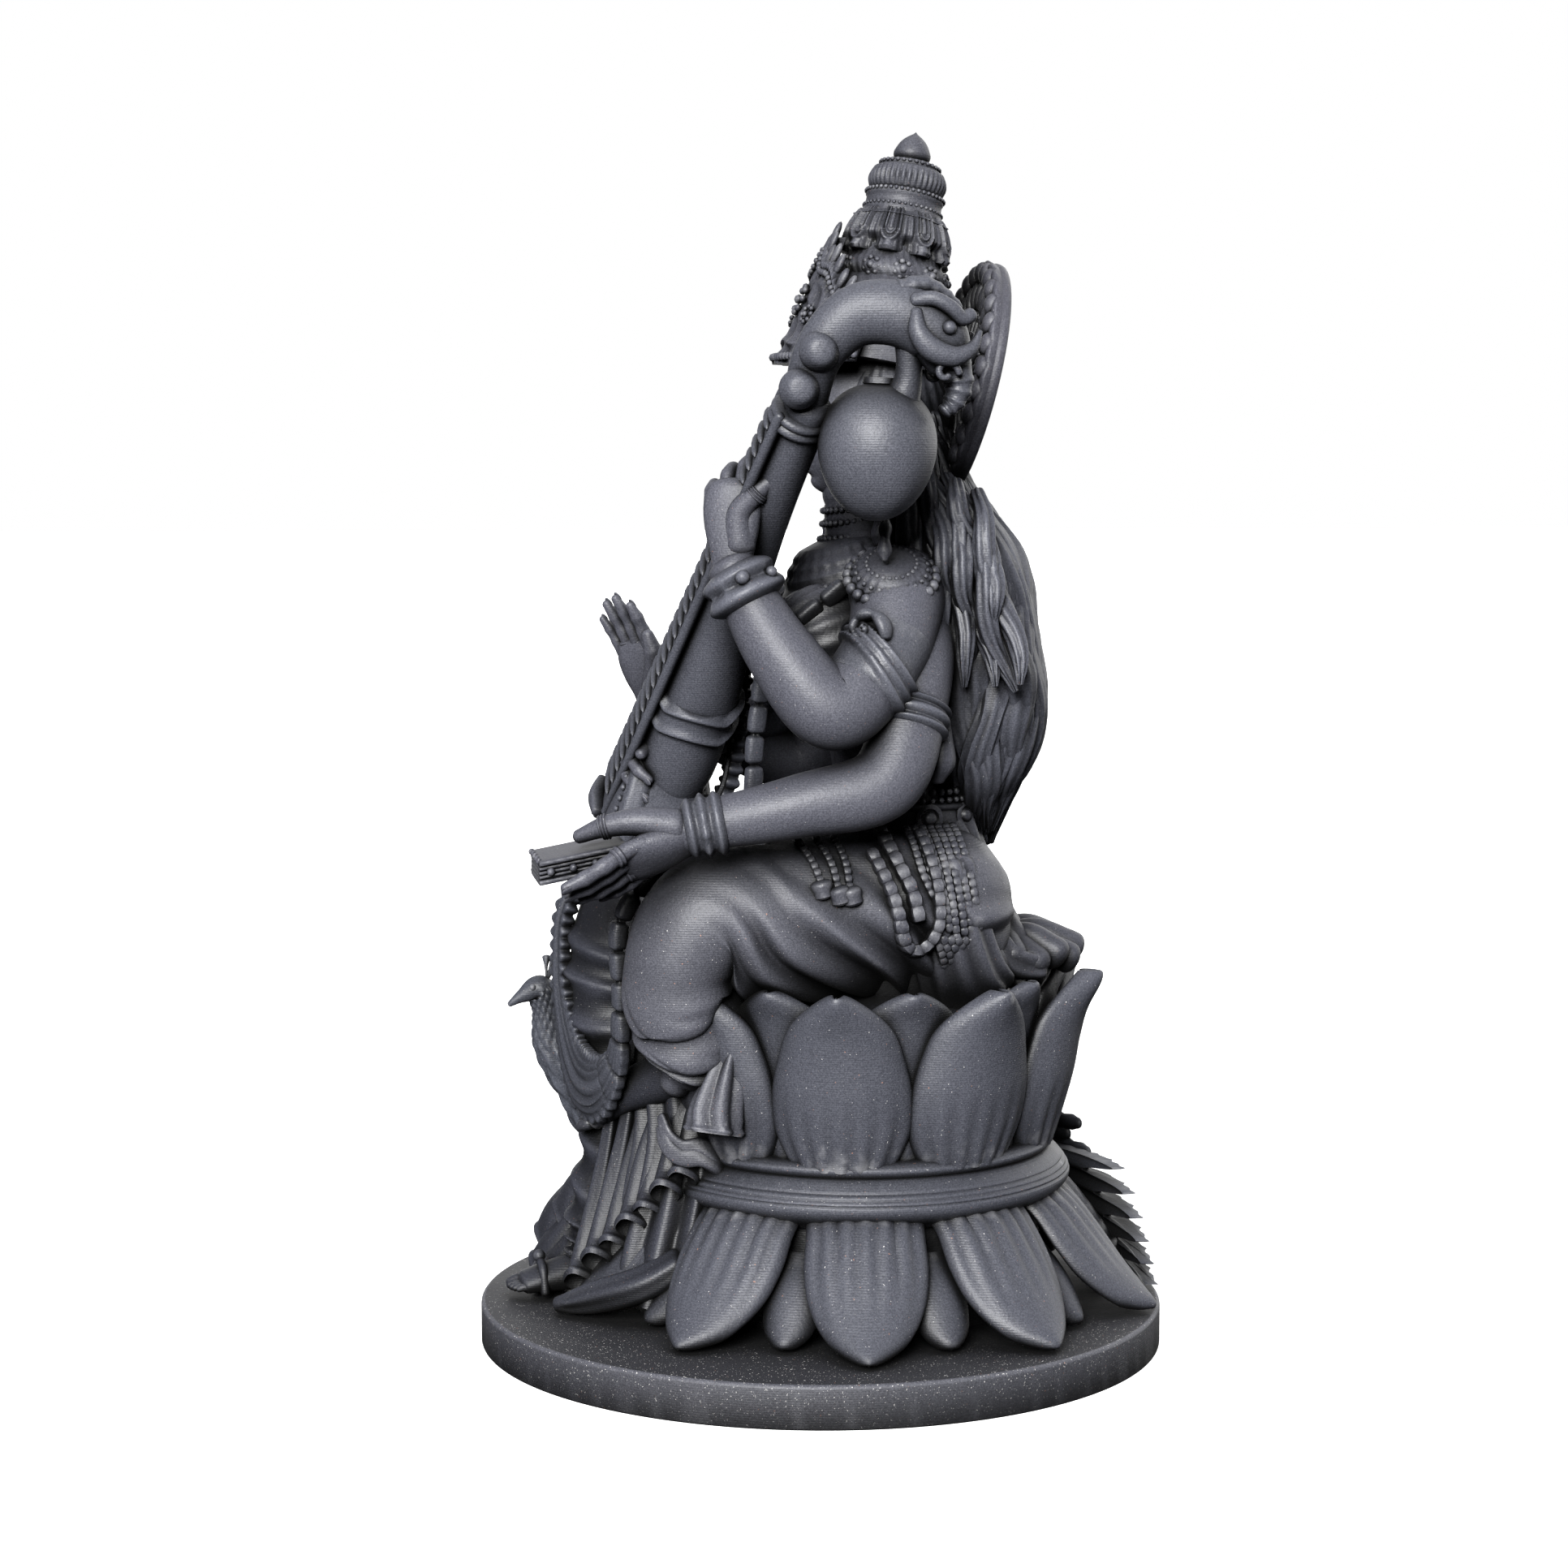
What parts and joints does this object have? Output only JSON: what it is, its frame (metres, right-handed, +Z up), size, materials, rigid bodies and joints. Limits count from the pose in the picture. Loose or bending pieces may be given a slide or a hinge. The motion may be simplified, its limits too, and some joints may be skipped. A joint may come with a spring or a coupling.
{
  "type": "seated four-armed goddess figure",
  "caption": "Small resin figure of a seated goddess of learning with a long lute, book and peacock, on a double lotus and a round base",
  "frame": {"origin": "middle of the round base's flat underside", "axes": "+Z up, -Y the way the figure faces, +X the figure's left side, where the gourd of the lute is"},
  "size_m": [0.084, 0.084, 0.1482],
  "materials": {
    "grey_resin": "dark bluish grey resin, matt to satin, with fine printed layers, rubbed lighter on the high places"
  },
  "bodies": {
    "root": {"saraswati_figure": "grey_resin"}
  },
  "joints": []
}
